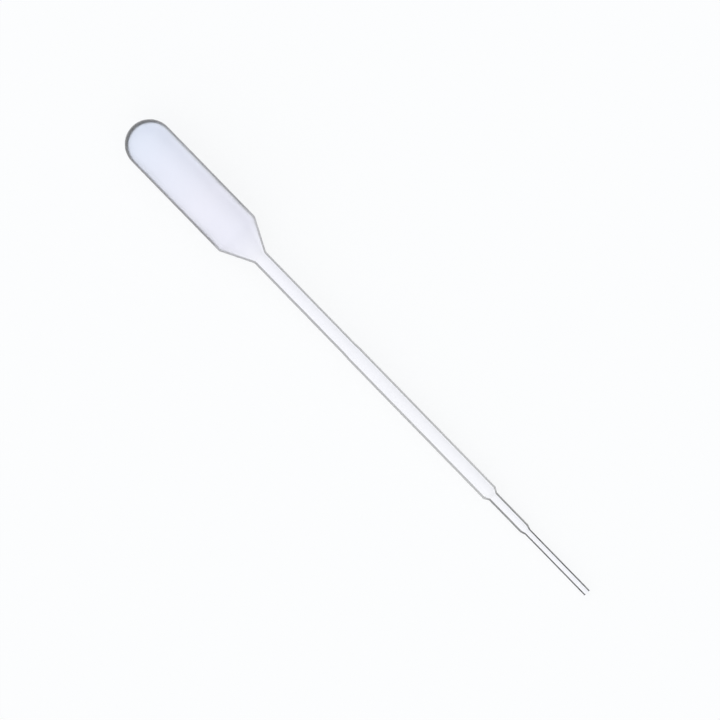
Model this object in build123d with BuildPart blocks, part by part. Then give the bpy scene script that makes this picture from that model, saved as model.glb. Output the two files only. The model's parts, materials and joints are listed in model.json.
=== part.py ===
"""A plastic dropper pipette: one hollow shell of low-density polyethylene, blow-moulded in one piece.

It is turned about one axis. From its closed end it has a round-ended squeeze bulb, a conical shoulder,
a stem in two stretches of slightly different width, a narrow neck and a fine tip, open at its end.
It lies on a flat surface as it comes to rest there, tip towards +X, on the lower side of the bulb's rim
and of the tip. The origin is on that surface, under the pipette's middle. Lengths are in millimetres.
"""
import os
from math import asin, atan2, cos, hypot, sin, tan

from build123d import *

# Outside diameters
bulb_diameter = 11.5
upper_stem_diameter = 3.8
lower_stem_diameter = 4.0
neck_diameter = 2.6
tip_diameter = 1.9

# Lengths along the axis, in order from the closed end
bulb_length = 34.5  # the round end and the straight side, up to the rim where the shoulder begins
shoulder_length = 7.6
upper_stem_length = 29.6
swell_length = 1.2  # from the upper stem's width to the lower stem's
lower_stem_length = 44.9
stem_step_length = 1.1  # from the lower stem down to the neck
neck_length = 10.3
neck_step_length = 1.0  # from the neck down to the tip
tip_length = 19.8

# Walls
bulb_end_wall = 0.8  # thicker, where the soft tube was pinched shut
bulb_wall = 0.45
stem_wall = 0.5
neck_wall = 0.45
tip_wall = 0.4

# Radii that round the corners, alike outside and inside
rim_rounding = 0.8
throat_rounding = 1.5
swell_rounding = 3.0
step_rounding = 0.5

bulb_radius = bulb_diameter / 2
upper_stem_radius = upper_stem_diameter / 2
lower_stem_radius = lower_stem_diameter / 2
neck_radius = neck_diameter / 2
tip_radius = tip_diameter / 2

# Places of the corners along the axis, from the closed end at 0
rim = bulb_length
throat = rim + shoulder_length
swell_start = throat + upper_stem_length
swell_end = swell_start + swell_length
stem_end = swell_end + lower_stem_length
neck_start = stem_end + stem_step_length
neck_end = neck_start + neck_length
tip_start = neck_end + neck_step_length
tip_end = tip_start + tip_length

# How steeply each sloping stretch closes in on the axis, in radians
shoulder_slope = atan2(bulb_radius - upper_stem_radius, shoulder_length)
swell_slope = atan2(upper_stem_radius - lower_stem_radius, swell_length)
stem_step_slope = atan2(lower_stem_radius - neck_radius, stem_step_length)
neck_step_slope = atan2(neck_radius - tip_radius, neck_step_length)

# Every corner in order: its place, outside radius, wall, the slope that starts or ends there, rounding
corners = [
    (rim, bulb_radius, bulb_wall, shoulder_slope, rim_rounding),
    (throat, upper_stem_radius, stem_wall, shoulder_slope, throat_rounding),
    (swell_start, upper_stem_radius, stem_wall, swell_slope, swell_rounding),
    (swell_end, lower_stem_radius, stem_wall, swell_slope, swell_rounding),
    (stem_end, lower_stem_radius, stem_wall, stem_step_slope, step_rounding),
    (neck_start, neck_radius, neck_wall, stem_step_slope, step_rounding),
    (neck_end, neck_radius, neck_wall, neck_step_slope, step_rounding),
    (tip_start, tip_radius, tip_wall, neck_step_slope, step_rounding),
]
roundings = [rounding for place, radius, wall, slope, rounding in corners]
outside_corners = [(place, radius) for place, radius, wall, slope, rounding in corners]
# Set back by the wall at right angles to both stretches that meet at the corner
inside_corners = [
    (place - wall * tan(slope / 2), radius - wall) for place, radius, wall, slope, rounding in corners
]


def lean_onto(corner, radius, rounding):
    """The angle by which the axis dips when the bulb's rim and this rounded corner both touch down."""
    along = corner - rim_centre
    drop = (bulb_radius - rim_rounding) - (radius - rounding)
    return atan2(drop, along) + asin((rim_rounding - rounding) / hypot(along, drop))


def half_section(top, end_radius, corner_points, open_radius):
    """Outline of half a lengthwise section: round closed end, the corners in order, square-cut end."""
    end_centre = top + end_radius
    with BuildLine() as outline:
        CenterArc((end_centre, 0), end_radius, 90, 90)
        FilletPolyline(
            (end_centre, end_radius), *corner_points, (tip_end, open_radius), radius=roundings
        )
        Polyline((tip_end, open_radius), (tip_end, 0), (top, 0))
    return outline.edges()


outside = half_section(0, bulb_radius, outside_corners, tip_radius)
inside = half_section(bulb_end_wall, bulb_radius - bulb_wall, inside_corners, tip_radius - tip_wall)

# At rest the tip dips until the first corner beyond the rim reaches the surface
rim_centre = rim - rim_rounding * tan(shoulder_slope / 2)
lean = min(
    lean_onto(stem_end, lower_stem_radius, step_rounding),
    lean_onto(neck_end, neck_radius, step_rounding),
    lean_onto(tip_end, tip_radius, 0),
)
axis_height = (bulb_radius - rim_rounding) * cos(lean) + rim_centre * sin(lean) + rim_rounding
back = bulb_radius * cos(lean) - bulb_radius
front = tip_end * cos(lean) + tip_radius * sin(lean)
lying_plane = Plane(
    origin=(-(back + front) / 2, 0, axis_height), x_dir=(cos(lean), 0, -sin(lean)), z_dir=(0, -1, 0)
)

with BuildPart() as pipette:
    with BuildSketch(lying_plane) as wall_section:
        make_face(outside)
        make_face(inside, mode=Mode.SUBTRACT)
    revolve(axis=Axis(lying_plane.origin, lying_plane.x_dir))
pipette.part.label = "pipette"

os.makedirs("parts", exist_ok=True)
export_step(pipette.part, "parts/pipette.step")
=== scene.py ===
import json
import math

import bpy
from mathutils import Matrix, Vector


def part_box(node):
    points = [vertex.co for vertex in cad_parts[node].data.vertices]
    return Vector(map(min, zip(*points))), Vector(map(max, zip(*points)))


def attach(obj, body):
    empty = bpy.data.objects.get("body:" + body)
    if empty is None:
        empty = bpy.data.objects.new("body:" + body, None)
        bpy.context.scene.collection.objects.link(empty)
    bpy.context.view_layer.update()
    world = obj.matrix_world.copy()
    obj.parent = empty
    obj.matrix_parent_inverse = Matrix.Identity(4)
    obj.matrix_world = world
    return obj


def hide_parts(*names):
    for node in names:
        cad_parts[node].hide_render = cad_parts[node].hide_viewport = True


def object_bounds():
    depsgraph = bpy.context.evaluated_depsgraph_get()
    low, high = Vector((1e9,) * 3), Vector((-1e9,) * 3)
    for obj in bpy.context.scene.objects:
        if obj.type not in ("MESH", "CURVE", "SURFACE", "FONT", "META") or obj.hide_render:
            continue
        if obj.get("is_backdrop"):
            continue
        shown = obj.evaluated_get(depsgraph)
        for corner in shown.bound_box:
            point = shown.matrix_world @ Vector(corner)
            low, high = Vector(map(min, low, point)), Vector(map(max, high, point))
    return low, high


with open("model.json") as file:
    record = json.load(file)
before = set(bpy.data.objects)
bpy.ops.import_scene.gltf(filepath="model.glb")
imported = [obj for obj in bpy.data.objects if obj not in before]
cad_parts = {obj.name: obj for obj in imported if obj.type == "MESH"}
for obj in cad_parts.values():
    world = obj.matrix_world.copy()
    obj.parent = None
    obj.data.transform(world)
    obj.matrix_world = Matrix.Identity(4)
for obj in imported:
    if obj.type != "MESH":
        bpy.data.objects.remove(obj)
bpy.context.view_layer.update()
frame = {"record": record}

# A plastic dropper pipette: one hollow shell of natural low-density polyethylene, turned about one axis,
# that lies on a plain floor. Sizes and places are in millimetres, and MM turns them into metres.
MM = 0.001

# Lengths along the pipette's axis, in order from the closed end to the open one
BULB_LENGTH = 34.5
SHOULDER_LENGTH = 7.6
UPPER_STEM_LENGTH = 29.6
SWELL_LENGTH = 1.2
LOWER_STEM_LENGTH = 44.9
STEM_STEP_LENGTH = 1.1
NECK_LENGTH = 10.3
NECK_STEP_LENGTH = 1.0
TIP_LENGTH = 19.8

# Where the stretches meet, from the closed end
RIM = BULB_LENGTH
THROAT = RIM + SHOULDER_LENGTH
SWELL_START = THROAT + UPPER_STEM_LENGTH
SWELL_END = SWELL_START + SWELL_LENGTH
STEM_END = SWELL_END + LOWER_STEM_LENGTH
NECK_START = STEM_END + STEM_STEP_LENGTH
NECK_END = NECK_START + NECK_LENGTH
TIP_START = NECK_END + NECK_STEP_LENGTH
TIP_END = TIP_START + TIP_LENGTH

# Radii and walls that neither the record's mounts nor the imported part's box gives
UPPER_STEM_RADIUS = 1.9
NECK_RADIUS = 1.3
BULB_END_WALL = 0.8
BULB_WALL = 0.45
STEM_WALL = 0.5
NECK_WALL = 0.45

# Radii that round the corners, alike outside and inside
RIM_ROUNDING = 0.8
THROAT_ROUNDING = 1.5
SWELL_ROUNDING = 3.0
STEP_ROUNDING = 0.5
CUT_ROUNDING = 0.05  # the open end's edges, just broken by the blade that cut it

BORE_PLACE_INSIDE = 5.0  # the bore mount's place is this far in from the open end
SLIMMING = 0.006  # off the bulb's radius and end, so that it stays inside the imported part's faceted one

# The blown wall's unevenness, all of it on the inside
WALL_UNEVENNESS = 0.03  # how far the inside drifts in and out
UNEVEN_LENGTH = 7.0  # how long one drift is
WALL_OFF_CENTRE = 0.03  # how far the inside sits to one side, because the soft tube hung a little askew
SEED = 3

# How finely the shell is made
TURN_SEGMENTS = 128
RING_SPACING = 0.8  # between rings on the straight runs
ROUNDING_PER_POINT = 0.2  # a rounding has one point for each of these lengths in its radius
FEWEST_ARC_POINTS = 7
SWEEP_RADIUS = 10.0  # of the ring that the half section is swept round; it is drawn this much further in
POLE_GAP = 0.002  # points nearer than this become one, which closes both poles
MOSTLY_INSIDE = 0.75  # share of a face's points that are on the inside, past which the face is too

# Finishes that change along the pipette, each as (millimetres from the closed end, value)
# Tint of the light that passes through the outside: bluish at the round end, nearly clear at the tip
TINTS = [
    (0, "#ebf2ff"),
    (0.35 * RIM, "#f1f4ff"),
    (0.7 * RIM, "#f6f6ff"),
    (RIM, "#f6f6ff"),
    (THROAT, "#fbfbff"),
    (SWELL_START, "#fdfdff"),
    (STEM_END, "#fefeff"),
]
# The outside's roughness as a share of the bulb's: only bulb and shoulder were pressed against the mould
MATTNESS = [(0, 1.0), (RIM, 1.0), (THROAT, 0.3)]
# The share taken from light that is wholly reflected inside the wall: painted shade that draws the
# pipette's darker edge lines
PAINTED_EDGE_SHADES = [
    (0, 0.95),
    (0.15 * RIM, 0.95),
    (0.3 * RIM, 0.88),
    (0.9 * RIM, 0.88),
    (RIM, 0.5),
    (THROAT, 0.55),
    (STEM_END, 0.5),
    (NECK_START, 0.75),
    (NECK_END, 0.75),
    (TIP_START, 0.97),
]

# Low-density polyethylene
LDPE_IOR = 1.51
WHOLLY_REFLECTED = 0.97  # a surface that reflects this share of a ray is taken to reflect all of it
UNSCATTERED = 0.97  # of the light that meets the outside; the milk in the resin scatters the rest
INSIDE_TINT = "#fcfcff"
OUTSIDE_ROUGHNESS = (0.18, 0.24)  # at its smoothest and its roughest, before MATTNESS
INSIDE_ROUGHNESS = (0.04, 0.07)
CLOUD_SIZE = 6.25  # of the patches between smoothest and roughest
CLOUD_RANGE = (0.3, 0.7)  # what most of the cloud pattern's values lie between
DIE_LINE_SPACING = 0.4
DIE_LINE_LENGTH = 25.0
DIE_LINE_DEPTH = 0.008
DIE_LINE_STRENGTH = 0.5

# The plain pale floor and room
BACKGROUND = "#fcfdfe"
CARD_TONES = ("#fafafa", "#fefefe")
CARD_GRAIN = 900  # tufts in a metre, each 1.1 mm wide
CARD_PLAINNESS = 0.9  # share of BACKGROUND in what is seen of the card; the rest is lit, with a shadow
FLOOR_HALF = 3000.0
LIGHT_FROM = (-0.2, -0.75, 0.63)  # the room is brightest above the front, a little to the left
BRIGHTEST = 1.42
DARK_SIDE = -0.8  # cosine of the angle from LIGHT_FROM at which the room's light has faded out

# The camera
CAMERA_TURN = math.radians(45.75)
LENS = 400
SENSOR = 36
FRAME_WIDTH = 166.0  # what the camera takes in
NEAREST_SEEN = 0.01  # as a share of the camera's distance, like the next
FARTHEST_SEEN = 10


def add_node(tree, kind, settings=None, values=None, links=None):
    """One node: its settings, the values of its own sockets, and what is linked into them."""
    node = tree.nodes.new(kind)
    for name, value in (settings or {}).items():
        setattr(node, name, value)
    for socket, value in (values or {}).items():
        node.inputs[socket].default_value = value
    for socket, source in (links or {}).items():
        tree.links.new(source, node.inputs[socket])
    return node


def mount(name):
    """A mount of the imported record, with its place, axis and sizes."""
    return next(m for m in frame["record"]["mounts"] if m["name"] == name)


def outline_corners():
    """The corners of half a lengthwise section, named, each as (along the axis, out from it, rounding).

    They run down the outside from the closed end to the tip, then back up the inside.
    """
    low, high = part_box("pipette")
    bulb_radius = (high.y - low.y) / 2 / MM - SLIMMING
    stem_radius = mount("stem")["dims"]["r_mm"]
    tip_radius = mount("tip")["dims"]["r_mm"]
    bore_radius = mount("tip_bore")["dims"]["r_mm"]
    tip_wall = tip_radius - bore_radius
    # name, stretch before it, outside radius, wall, rounding
    stations = [
        ("Rim", BULB_LENGTH, bulb_radius, BULB_WALL, RIM_ROUNDING),
        ("Throat", SHOULDER_LENGTH, UPPER_STEM_RADIUS, STEM_WALL, THROAT_ROUNDING),
        ("Swell Start", UPPER_STEM_LENGTH, UPPER_STEM_RADIUS, STEM_WALL, SWELL_ROUNDING),
        ("Swell End", SWELL_LENGTH, stem_radius, STEM_WALL, SWELL_ROUNDING),
        ("Stem End", LOWER_STEM_LENGTH, stem_radius, STEM_WALL, STEP_ROUNDING),
        ("Neck Start", STEM_STEP_LENGTH, NECK_RADIUS, NECK_WALL, STEP_ROUNDING),
        ("Neck End", NECK_LENGTH, NECK_RADIUS, NECK_WALL, STEP_ROUNDING),
        ("Tip Start", NECK_STEP_LENGTH, tip_radius, tip_wall, STEP_ROUNDING),
    ]
    outside = [("Closed End", SLIMMING, 0, 0), ("Dome", SLIMMING, bulb_radius, bulb_radius)]
    inside = [
        ("Closed End Inside", BULB_END_WALL, 0, 0),
        ("Dome Inside", BULB_END_WALL, bulb_radius - BULB_WALL, bulb_radius - BULB_WALL),
    ]
    along = 0
    for number, (name, length, radius, wall, rounding) in enumerate(stations):
        # A slope lies between this corner and its neighbour: the shoulder, the swell or one of the steps
        sloping = number if number % 2 else number + 1
        drop = stations[sloping - 1][2] - stations[sloping][2]
        set_back = wall * math.tan(math.atan2(drop, stations[sloping][1]) / 2)
        along += length
        outside.append((name, along, radius, rounding))
        inside.append((name + " Inside", along - set_back, radius - wall, rounding))
    outside.append(("Tip End", TIP_END, tip_radius, CUT_ROUNDING))
    inside.append(("Tip End Inside", TIP_END, bore_radius, CUT_ROUNDING))
    return {name: Vector(corner) * MM for name, *corner in outside + inside[::-1]}


def half_section(tree, given, corners):
    """Nodes that draw the half section as a curve, and mark with a 1 what of it is on the inside."""
    # Every corner in turn: its place along the axis, its distance out from it and its rounding
    number = add_node(tree, "GeometryNodeInputIndex").outputs[0]
    corner = add_node(
        tree,
        "GeometryNodeIndexSwitch",
        {"data_type": "VECTOR"},
        links={"Index": number},
    )
    while len(corner.index_switch_items) < len(corners):
        corner.index_switch_items.new()
    for place, name in enumerate(corners):
        tree.links.new(given[name], corner.inputs[str(place)])
    sizes = add_node(tree, "ShaderNodeSeparateXYZ", links={"Vector": corner.outputs[0]}).outputs

    # The section is drawn beside the ring that it is swept round, so that ring's radius is taken off
    out_from_ring = add_node(
        tree,
        "ShaderNodeMath",
        {"operation": "SUBTRACT"},
        {1: SWEEP_RADIUS * MM},
        {0: sizes["Y"]},
    )
    back_along = add_node(
        tree,
        "ShaderNodeMath",
        {"operation": "MULTIPLY"},
        {1: -1},
        {0: sizes["X"]},
    )
    drawn_at = add_node(
        tree,
        "ShaderNodeCombineXYZ",
        links={"X": out_from_ring.outputs[0], "Y": back_along.outputs[0]},
    )
    points = add_node(tree, "GeometryNodeMeshLine", values={"Count": len(corners)})
    placed = add_node(
        tree,
        "GeometryNodeSetPosition",
        links={"Geometry": points.outputs[0], "Position": drawn_at.outputs[0]},
    )
    line = add_node(tree, "GeometryNodeMeshToCurve", links={"Mesh": placed.outputs[0]})

    # The second half of the corners are the inside's
    is_inside = add_node(
        tree,
        "FunctionNodeCompare",
        {"data_type": "INT", "operation": "GREATER_EQUAL"},
        {"B": len(corners) // 2},
        {"A": number},
    )
    marked = add_node(tree, "GeometryNodeCaptureAttribute", {"domain": "POINT"})
    marked.capture_items.new("FLOAT", "Inside")
    tree.links.new(line.outputs[0], marked.inputs["Geometry"])
    tree.links.new(is_inside.outputs[0], marked.inputs["Inside"])

    # Round the corners, with more points on a bigger rounding
    arc_share = add_node(
        tree,
        "ShaderNodeMath",
        {"operation": "DIVIDE"},
        links={0: sizes["Z"], 1: given["Rounding Per Point"]},
    )
    arc_points = add_node(
        tree,
        "ShaderNodeMath",
        {"operation": "MAXIMUM"},
        links={0: arc_share.outputs[0], 1: given["Fewest Arc Points"]},
    )
    rounded = add_node(
        tree,
        "GeometryNodeFilletCurve",
        {"mode": "POLY"},
        links={
            "Curve": marked.outputs["Geometry"],
            "Count": arc_points.outputs[0],
            "Radius": sizes["Z"],
        },
    )

    # Divide the straight runs, so that the rings stay close enough to carry the unevenness
    place = add_node(tree, "GeometryNodeInputPosition").outputs[0]
    next_number = add_node(tree, "ShaderNodeMath", {"operation": "ADD"}, {1: 1}, {0: number})
    next_place = add_node(
        tree,
        "GeometryNodeFieldAtIndex",
        {"data_type": "FLOAT_VECTOR"},
        links={"Index": next_number.outputs[0], "Value": place},
    )
    run = add_node(
        tree,
        "ShaderNodeVectorMath",
        {"operation": "DISTANCE"},
        links={0: place, 1: next_place.outputs[0]},
    )
    cuts = add_node(
        tree,
        "ShaderNodeMath",
        {"operation": "DIVIDE"},
        links={0: run.outputs["Value"], 1: given["Ring Spacing"]},
    )
    divided = add_node(
        tree,
        "GeometryNodeSubdivideCurve",
        links={"Curve": rounded.outputs[0], "Cuts": cuts.outputs[0]},
    )
    return divided.outputs[0], marked.outputs["Inside"]


def turned_about_axis(tree, given, section):
    """Nodes that turn the half section round the axis, lay it in its place and close it at both poles."""
    ring = add_node(
        tree,
        "GeometryNodeCurvePrimitiveCircle",
        values={"Radius": SWEEP_RADIUS * MM},
        links={"Resolution": given["Turn Segments"]},
    )
    turned = add_node(
        tree,
        "GeometryNodeCurveToMesh",
        links={"Curve": ring.outputs["Curve"], "Profile Curve": section},
    )
    lean = add_node(
        tree,
        "FunctionNodeAlignRotationToVector",
        {"axis": "Z"},
        links={"Vector": given["Axis"]},
    )
    lying = add_node(
        tree,
        "GeometryNodeTransform",
        links={
            "Geometry": turned.outputs[0],
            "Translation": given["Closed End Place"],
            "Rotation": lean.outputs[0],
        },
    )
    closed = add_node(
        tree,
        "GeometryNodeMergeByDistance",
        values={"Distance": POLE_GAP * MM},
        links={"Geometry": lying.outputs[0]},
    )
    return add_node(tree, "GeometryNodeFlipFaces", links={"Mesh": closed.outputs[0]}).outputs[0]


def blown_unevenly(tree, given, shell, inside):
    """Nodes for a wall that drifts in thickness: the inside moves a little, the outside stays true."""
    per_length = add_node(
        tree,
        "ShaderNodeMath",
        {"operation": "DIVIDE"},
        {0: 1},
        {1: given["Uneven Length"]},
    )
    drift = add_node(
        tree,
        "ShaderNodeTexNoise",
        {"noise_dimensions": "4D"},
        {"Detail": 2, "Roughness": 0.5},
        {"W": given["Seed"], "Scale": per_length.outputs[0]},
    )
    centred = add_node(
        tree,
        "ShaderNodeMath",
        {"operation": "SUBTRACT"},
        {1: 0.5},
        {0: drift.outputs["Fac"]},
    )
    reach = add_node(
        tree,
        "ShaderNodeMath",
        {"operation": "MULTIPLY"},
        links={0: given["Unevenness"], 1: inside},
    )
    amount = add_node(
        tree,
        "ShaderNodeMath",
        {"operation": "MULTIPLY"},
        links={0: centred.outputs[0], 1: reach.outputs[0]},
    )
    normal = add_node(tree, "GeometryNodeInputNormal").outputs["Normal"]
    along_normal = add_node(
        tree,
        "ShaderNodeVectorMath",
        {"operation": "SCALE"},
        links={0: normal, "Scale": amount.outputs[0]},
    )
    moved = add_node(
        tree,
        "ShaderNodeVectorMath",
        {"operation": "MULTIPLY_ADD"},
        links={0: given["Off Centre"], 1: inside, 2: along_normal.outputs[0]},
    )
    uneven = add_node(
        tree,
        "GeometryNodeSetPosition",
        links={"Geometry": shell, "Offset": moved.outputs[0]},
    )
    return uneven.outputs[0]


def shell_tree(corners):
    """Geometry Nodes that turn a half section, given corner by corner, into a closed hollow shell."""
    tree = bpy.data.node_groups.new("turned_shell", "GeometryNodeTree")
    face = tree.interface
    for name in (*corners, "Closed End Place", "Axis", "Off Centre"):
        face.new_socket(name, in_out="INPUT", socket_type="NodeSocketVector")
    for name in ("Ring Spacing", "Rounding Per Point", "Unevenness", "Uneven Length"):
        face.new_socket(name, in_out="INPUT", socket_type="NodeSocketFloat")
    for name in ("Turn Segments", "Fewest Arc Points", "Seed"):
        face.new_socket(name, in_out="INPUT", socket_type="NodeSocketInt")
    for name in ("Outside Material", "Inside Material"):
        face.new_socket(name, in_out="INPUT", socket_type="NodeSocketMaterial")
    face.new_socket("Geometry", in_out="OUTPUT", socket_type="NodeSocketGeometry")
    given = add_node(tree, "NodeGroupInput").outputs

    section, inside = half_section(tree, given, corners)
    shell = blown_unevenly(tree, given, turned_about_axis(tree, given, section), inside)
    smooth = add_node(tree, "GeometryNodeSetShadeSmooth", links={"Geometry": shell})
    real = add_node(tree, "GeometryNodeRealizeInstances", links={"Geometry": smooth.outputs[0]})
    finished = add_node(
        tree,
        "GeometryNodeSetMaterial",
        links={"Geometry": real.outputs[0], "Material": given["Outside Material"]},
    )
    is_inside_face = add_node(
        tree,
        "FunctionNodeCompare",
        {"data_type": "FLOAT", "operation": "GREATER_THAN"},
        {"B": MOSTLY_INSIDE},
        {"A": inside},
    )
    lined = add_node(
        tree,
        "GeometryNodeSetMaterial",
        links={
            "Geometry": finished.outputs[0],
            "Selection": is_inside_face.outputs[0],
            "Material": given["Inside Material"],
        },
    )
    add_node(tree, "NodeGroupOutput", links={"Geometry": lined.outputs[0]})
    return tree


def built_mesh(name, tree, values):
    """A plain mesh object at the origin, as the node tree makes it from these named values."""
    carrier = bpy.data.objects.new(name + "_maker", bpy.data.meshes.new(name + "_maker"))
    bpy.context.collection.objects.link(carrier)
    maker = carrier.modifiers.new("maker", "NODES")
    maker.node_group = tree
    for item in tree.interface.items_tree:
        if item.item_type == "SOCKET" and item.in_out == "INPUT":
            maker[item.identifier] = values[item.name]
    ready = carrier.evaluated_get(bpy.context.evaluated_depsgraph_get())
    piece = bpy.data.objects.new(name, bpy.data.meshes.new_from_object(ready))
    piece.data.name = name
    bpy.data.objects.remove(carrier)
    bpy.context.collection.objects.link(piece)
    return piece


def linear(hex_colour):
    """An sRGB hex colour as the linear RGBA that a shader takes."""
    parts = [int(hex_colour[i : i + 2], 16) / 255 for i in (1, 3, 5)]
    return tuple(c / 12.92 if c <= 0.04045 else ((c + 0.055) / 1.055) ** 2.4 for c in parts) + (1.0,)


def grey(share):
    """A plain number as the grey that a colour ramp holds it as."""
    return (share, share, share, 1.0)


def new_material(name):
    """An empty node material and its tree."""
    material = bpy.data.materials.new(name)
    material.use_nodes = True
    material.node_tree.nodes.clear()
    return material, material.node_tree


def along_pipette(tree, where, stops):
    """What changes from the closed end to the tip, given as (millimetres from the closed end, colour)."""
    low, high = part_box("pipette")
    across = add_node(tree, "ShaderNodeSeparateXYZ", links={"Vector": where})
    share = add_node(
        tree,
        "ShaderNodeMapRange",
        values={"From Min": low.x, "From Max": high.x},
        links={"Value": across.outputs["X"]},
    )
    ramp = add_node(tree, "ShaderNodeValToRGB", links={"Fac": share.outputs[0]})
    marks = ramp.color_ramp.elements
    while len(marks) < len(stops):
        marks.new(0.5)
    for mark, (place, colour) in zip(marks, stops):
        mark.position = place / TIP_END
        mark.color = colour
    return ramp.outputs["Color"]


def flow_clouds(tree, where, smoothest, roughest):
    """A roughness that drifts over a few millimetres, as haze does in resin that flowed while soft."""
    clouds = add_node(
        tree,
        "ShaderNodeTexNoise",
        values={"Scale": 1 / (CLOUD_SIZE * MM), "Detail": 3, "Roughness": 0.55},
        links={"Vector": where},
    )
    least, most = CLOUD_RANGE
    haze = add_node(
        tree,
        "ShaderNodeMapRange",
        values={"From Min": least, "From Max": most, "To Min": smoothest, "To Max": roughest},
        links={"Value": clouds.outputs["Fac"]},
    )
    return haze.outputs[0]


def moulded_ldpe():
    """The outside: natural low-density polyethylene, extruded as a soft tube and blown into a mould.

    The resin is undyed. It lets nearly all light through, with a little milk in it and a faint blue that is
    strongest at the closed end, and the mould's fine matt surface has left a satin gloss on it.
    """
    material, tree = new_material("natural_ldpe_blow_moulded_outside")
    where = add_node(tree, "ShaderNodeTexCoord").outputs["Object"]
    # The die leaves fine lines along the tube, about 0.1 mm apart, which are drawn 0.4 mm apart to show
    across = 1 / (DIE_LINE_SPACING * MM)
    stretched = add_node(
        tree,
        "ShaderNodeMapping",
        values={"Scale": (1 / (DIE_LINE_LENGTH * MM), across, across)},
        links={"Vector": where},
    )
    lines = add_node(
        tree,
        "ShaderNodeTexNoise",
        values={"Scale": 1, "Detail": 1},
        links={"Vector": stretched.outputs[0]},
    )
    bump = add_node(
        tree,
        "ShaderNodeBump",
        values={"Strength": DIE_LINE_STRENGTH, "Distance": DIE_LINE_DEPTH * MM},
        links={"Height": lines.outputs["Fac"]},
    )
    mattness = add_node(
        tree,
        "ShaderNodeMath",
        {"operation": "MULTIPLY"},
        links={
            0: flow_clouds(tree, where, *OUTSIDE_ROUGHNESS),
            1: along_pipette(tree, where, [(place, grey(share)) for place, share in MATTNESS]),
        },
    )
    shader = add_node(
        tree,
        "ShaderNodeBsdfPrincipled",
        values={"Metallic": 0.0, "IOR": LDPE_IOR, "Transmission Weight": UNSCATTERED},
        links={
            "Base Color": along_pipette(tree, where, [(place, linear(tint)) for place, tint in TINTS]),
            "Roughness": mattness.outputs[0],
            "Normal": bump.outputs[0],
        },
    )
    add_node(tree, "ShaderNodeOutputMaterial", links={"Surface": shader.outputs[0]})
    return material


def blown_ldpe():
    """The inside: the same resin where only air touched it, so it is smoother than the outside.

    Light that meets it square on goes through. Light that meets it at a slant is wholly reflected and runs
    on inside the wall, and that reflection is dimmed by a grey share that changes along the pipette:
    painted shade that makes the edges look darker.
    """
    material, tree = new_material("natural_ldpe_blow_moulded_inside")
    where = add_node(tree, "ShaderNodeTexCoord").outputs["Object"]
    haze = flow_clouds(tree, where, *INSIDE_ROUGHNESS)
    clear = add_node(
        tree,
        "ShaderNodeBsdfPrincipled",
        values={
            "Base Color": linear(INSIDE_TINT),
            "Metallic": 0.0,
            "IOR": LDPE_IOR,
            "Transmission Weight": 1.0,
        },
        links={"Roughness": haze},
    )
    # Painted shade: light wholly reflected inside the wall keeps only this grey share, which draws the
    # darker edge lines
    left_after_painted_shade = [(place, grey(1 - loss)) for place, loss in PAINTED_EDGE_SHADES]
    painted_edge_shade = add_node(
        tree,
        "ShaderNodeBsdfAnisotropic",
        {"distribution": "GGX"},
        links={"Color": along_pipette(tree, where, left_after_painted_shade), "Roughness": haze},
    )
    reflected = add_node(tree, "ShaderNodeFresnel", values={"IOR": LDPE_IOR})
    wholly = add_node(
        tree,
        "ShaderNodeMath",
        {"operation": "GREATER_THAN"},
        {1: WHOLLY_REFLECTED},
        {0: reflected.outputs[0]},
    )
    both = add_node(
        tree,
        "ShaderNodeMixShader",
        links={"Fac": wholly.outputs[0], 1: clear.outputs[0], 2: painted_edge_shade.outputs[0]},
    )
    add_node(tree, "ShaderNodeOutputMaterial", links={"Surface": both.outputs[0]})
    return material


def matt_card():
    """Matt white card that the pipette lies on: it shows plain and pale, and keeps a faint soft shadow."""
    material, tree = new_material("matt_white_card")
    where = add_node(tree, "ShaderNodeTexCoord").outputs["Object"]
    grain = add_node(
        tree,
        "ShaderNodeTexNoise",
        values={"Scale": CARD_GRAIN, "Detail": 4},
        links={"Vector": where},
    )
    darker, lighter = CARD_TONES
    tone = add_node(
        tree,
        "ShaderNodeMix",
        {"data_type": "RGBA"},
        {"A": linear(darker), "B": linear(lighter)},
        {"Factor": grain.outputs["Fac"]},
    )
    card = add_node(tree, "ShaderNodeBsdfDiffuse", links={"Color": tone.outputs["Result"]})
    plain = add_node(tree, "ShaderNodeEmission", values={"Color": linear(BACKGROUND), "Strength": 1})
    # Seen straight, the card is mostly the plain background; in gloss and through the plastic, all of it
    rays = add_node(tree, "ShaderNodeLightPath").outputs
    seen = add_node(
        tree,
        "ShaderNodeMath",
        {"operation": "MULTIPLY"},
        {1: CARD_PLAINNESS},
        {0: rays["Is Camera Ray"]},
    )
    for kind in ("Is Glossy Ray", "Is Transmission Ray"):
        seen = add_node(
            tree,
            "ShaderNodeMath",
            {"operation": "MAXIMUM"},
            links={0: seen.outputs[0], 1: rays[kind]},
        )
    mixed = add_node(
        tree,
        "ShaderNodeMixShader",
        links={"Fac": seen.outputs[0], 1: card.outputs[0], 2: plain.outputs[0]},
    )
    add_node(tree, "ShaderNodeOutputMaterial", links={"Surface": mixed.outputs[0]})
    return material


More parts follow.
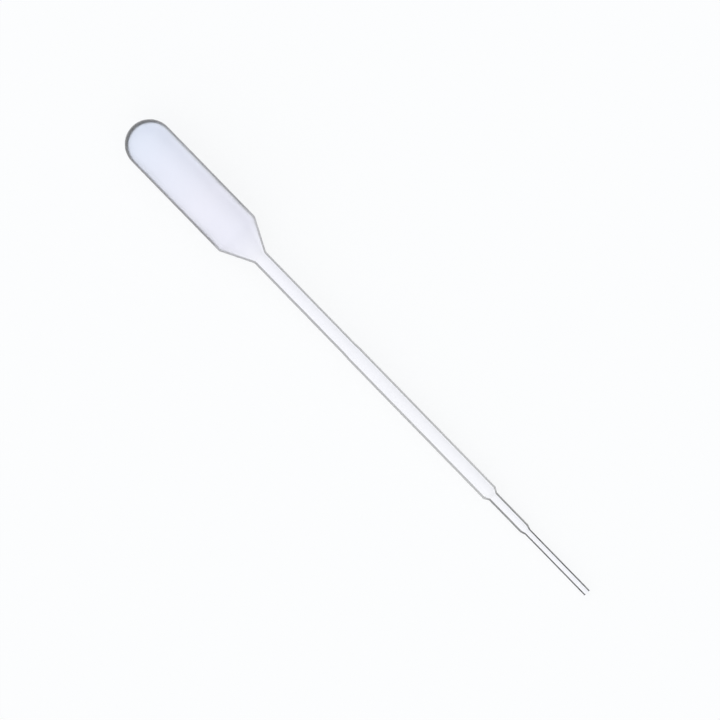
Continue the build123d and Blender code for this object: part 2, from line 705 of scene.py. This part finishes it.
def build_shell():
    """The pipette's one hollow shell, laid where the record's mounts put its axis."""
    corners = outline_corners()
    tip_bore = mount("tip_bore")
    axis = Vector(tip_bore["axis"]).normalized()
    to_bore_place = corners["Tip End"].x - BORE_PLACE_INSIDE * MM
    values = {
        **corners,
        "Closed End Place": Vector(tip_bore["pos_m"]) - axis * to_bore_place,
        "Axis": axis,
        "Off Centre": (0, WALL_OFF_CENTRE * MM, 0),
        "Ring Spacing": RING_SPACING * MM,
        "Rounding Per Point": ROUNDING_PER_POINT * MM,
        "Unevenness": 2 * WALL_UNEVENNESS * MM,  # from its thinnest to its thickest
        "Uneven Length": UNEVEN_LENGTH * MM,
        "Turn Segments": TURN_SEGMENTS,
        "Fewest Arc Points": FEWEST_ARC_POINTS,
        "Seed": SEED,
        "Outside Material": moulded_ldpe(),
        "Inside Material": blown_ldpe(),
    }
    shell = built_mesh("pipette_shell", shell_tree(corners), values)
    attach(shell, "root")
    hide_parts("pipette")


def build_floor():
    """A plain pale sheet that the pipette lies on."""
    half = FLOOR_HALF * MM
    corners = [(-half, -half, 0), (half, -half, 0), (half, half, 0), (-half, half, 0)]
    sheet = bpy.data.meshes.new("floor")
    sheet.from_pydata(corners, [], [(0, 1, 2, 3)])
    floor = bpy.data.objects.new("floor", sheet)
    bpy.context.collection.objects.link(floor)
    floor.data.materials.append(matt_card())
    floor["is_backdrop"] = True


def light_room():
    """A soft room with no lamp in it: bright all over one side, as from a wide window, dim on the other."""
    world = bpy.data.worlds.new("soft_room")
    bpy.context.scene.world = world
    world.use_nodes = True
    tree = world.node_tree
    tree.nodes.clear()
    direction = add_node(tree, "ShaderNodeTexCoord").outputs["Generated"]
    facing = add_node(
        tree,
        "ShaderNodeVectorMath",
        {"operation": "DOT_PRODUCT"},
        {1: LIGHT_FROM},
        {0: direction},
    )
    glow = add_node(
        tree,
        "ShaderNodeMapRange",
        {"interpolation_type": "SMOOTHSTEP"},
        {"From Min": DARK_SIDE, "From Max": 1, "To Min": 0, "To Max": BRIGHTEST},
        {"Value": facing.outputs["Value"]},
    )
    room = add_node(
        tree,
        "ShaderNodeBackground",
        values={"Color": (1, 1, 1, 1)},
        links={"Strength": glow.outputs[0]},
    )
    plain = add_node(
        tree,
        "ShaderNodeBackground",
        values={"Color": linear(BACKGROUND), "Strength": 1},
    )
    # The plain background is what is seen straight or through the plastic; gloss shows the bright room
    rays = add_node(tree, "ShaderNodeLightPath").outputs
    seen = add_node(
        tree,
        "ShaderNodeMath",
        {"operation": "MAXIMUM"},
        links={0: rays["Is Camera Ray"], 1: rays["Is Transmission Ray"]},
    )
    mixed = add_node(
        tree,
        "ShaderNodeMixShader",
        links={"Fac": seen.outputs[0], 1: room.outputs[0], 2: plain.outputs[0]},
    )
    add_node(tree, "ShaderNodeOutputWorld", links={"Surface": mixed.outputs[0]})


def place_camera():
    """Straight above, with a long lens, turned so that the pipette runs from top left to bottom right."""
    low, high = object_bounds()
    centre = (low + high) / 2
    distance = FRAME_WIDTH * MM * LENS / SENSOR
    view = bpy.data.cameras.new("camera")
    view.lens = LENS
    view.sensor_width = SENSOR
    view.clip_start = distance * NEAREST_SEEN
    view.clip_end = distance * FARTHEST_SEEN
    camera = bpy.data.objects.new("camera", view)
    camera.location = (centre.x, centre.y, distance)
    camera.rotation_euler = (0, 0, CAMERA_TURN)
    bpy.context.collection.objects.link(camera)
    bpy.context.scene.camera = camera


build_shell()
build_floor()
light_room()
place_camera()
bpy.context.scene.view_settings.view_transform = "Standard"
